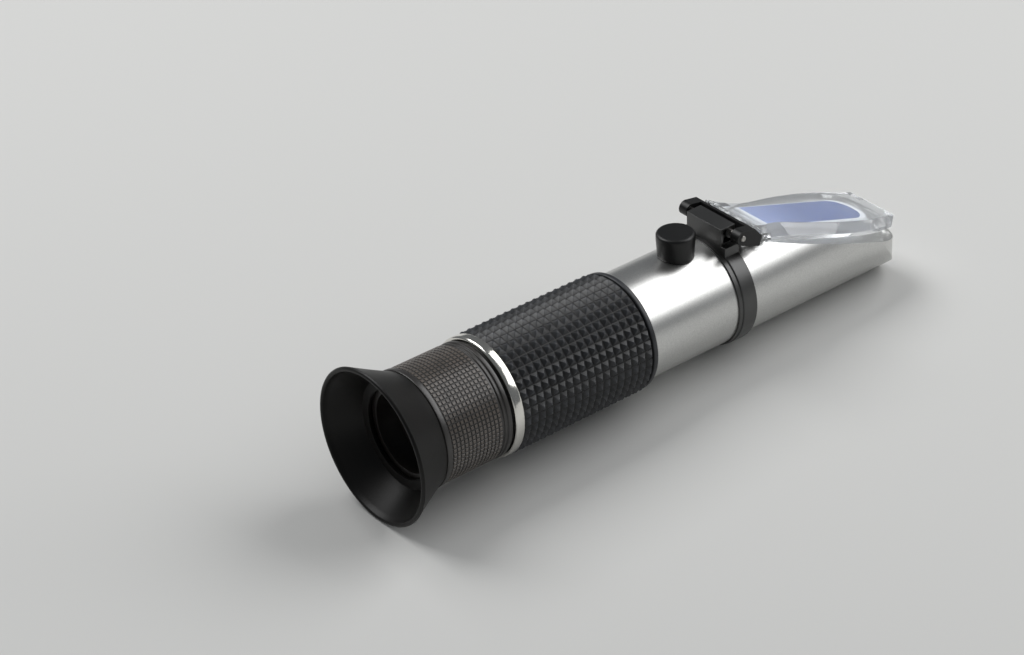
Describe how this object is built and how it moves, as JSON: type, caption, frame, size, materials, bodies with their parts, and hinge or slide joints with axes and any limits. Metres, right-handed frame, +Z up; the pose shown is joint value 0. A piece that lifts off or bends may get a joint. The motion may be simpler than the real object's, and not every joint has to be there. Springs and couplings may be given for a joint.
{
  "type": "hand-held coolant refractometer",
  "caption": "Hand-held refractometer: hinged daylight plate over an oblique prism, studded grip, focusing eyepiece with rubber cup, capped calibration screw.",
  "frame": {"origin": "on the optical axis, in the middle of the bare silver length of barrel between the grip and the front collar", "axes": "+X along the optical axis from the eyecup towards the prism, +Z up through the calibration cap, +Y to the left of someone looking in at the eyecup"},
  "size_m": [0.1571, 0.0384, 0.0387],
  "materials": {
    "chrome_plate": "satin",
    "black_rubber": "matte",
    "black_plastic": "satin",
    "black_anodised": "satin",
    "clear_plastic": "gloss",
    "optical_glass": "gloss",
    "sealing_compound": "satin",
    "steel": "satin",
    "brass": "satin"
  },
  "bodies": {
    "barrel": {"main_tube": "chrome_plate", "rubber_grip": "black_rubber", "trim_ring": "chrome_plate", "front_collar": "black_plastic", "hinge_collar": "black_plastic", "hinge_pin": "steel", "prism_head": "chrome_plate", "measuring_prism": "optical_glass", "prism_gasket": "sealing_compound", "light_baffle": "black_anodised", "cell_guide": "black_anodised", "guide_cover": "black_anodised", "reticle_disc": "optical_glass", "reticle_ring": "black_anodised", "eyepiece_tube": "black_anodised", "friction_washer": "black_plastic", "retaining_nut": "black_anodised", "screw_bush": "brass"},
    "focus_ring": {"focus_ring": "black_anodised", "eyecup": "black_rubber"},
    "lens_cell": {"lens_cell": "black_anodised", "field_lens": "optical_glass", "eye_lens": "optical_glass", "lens_spacer": "black_anodised", "lens_retainer": "black_anodised"},
    "objective": {"objective_cell": "black_anodised", "objective_lens": "optical_glass", "objective_retainer": "black_anodised"},
    "calibration_screw": {"calibration_screw": "brass"},
    "calibration_cap": {"calibration_cap": "black_rubber"},
    "daylight_plate": {"daylight_plate": "clear_plastic", "plate_yoke": "black_plastic", "plate_screws": "steel"}
  },
  "joints": [
    {"name": "focus_turn", "type": "hinge", "parent": "barrel", "child": "focus_ring", "pos_m": [-0.0653, 0, 0], "axis": [1, 0, 0], "range_deg": [-120, 120]},
    {"name": "lens_travel", "type": "slide", "parent": "barrel", "child": "lens_cell", "axis": [1, 0, 0], "range_m": [-0.00205, 0.00205]},
    {"name": "calibration_turn", "type": "hinge", "parent": "barrel", "child": "calibration_screw", "pos_m": [0.0053, 0, 0.0135], "axis": [0, 0, 1], "range_deg": [-200, 200]},
    {"name": "objective_shift", "type": "slide", "parent": "barrel", "child": "objective", "axis": [0, 0, 1], "range_m": [-0.00025, 0.00025]},
    {"name": "cap_pull", "type": "slide", "parent": "barrel", "child": "calibration_cap", "axis": [0, 0, 1], "range_m": [0, 0.012]},
    {"name": "plate_hinge", "type": "hinge", "parent": "barrel", "child": "daylight_plate", "pos_m": [0.0173, 0, 0.0173], "axis": [0, -1, 0], "range_deg": [0, 95]}
  ],
  "couplings": [
    {"joint": "lens_travel", "follows": "focus_turn", "m_per_rad": 0.00095493},
    {"joint": "calibration_turn", "follows": "objective_shift", "rad_per_m": 12566}
  ]
}
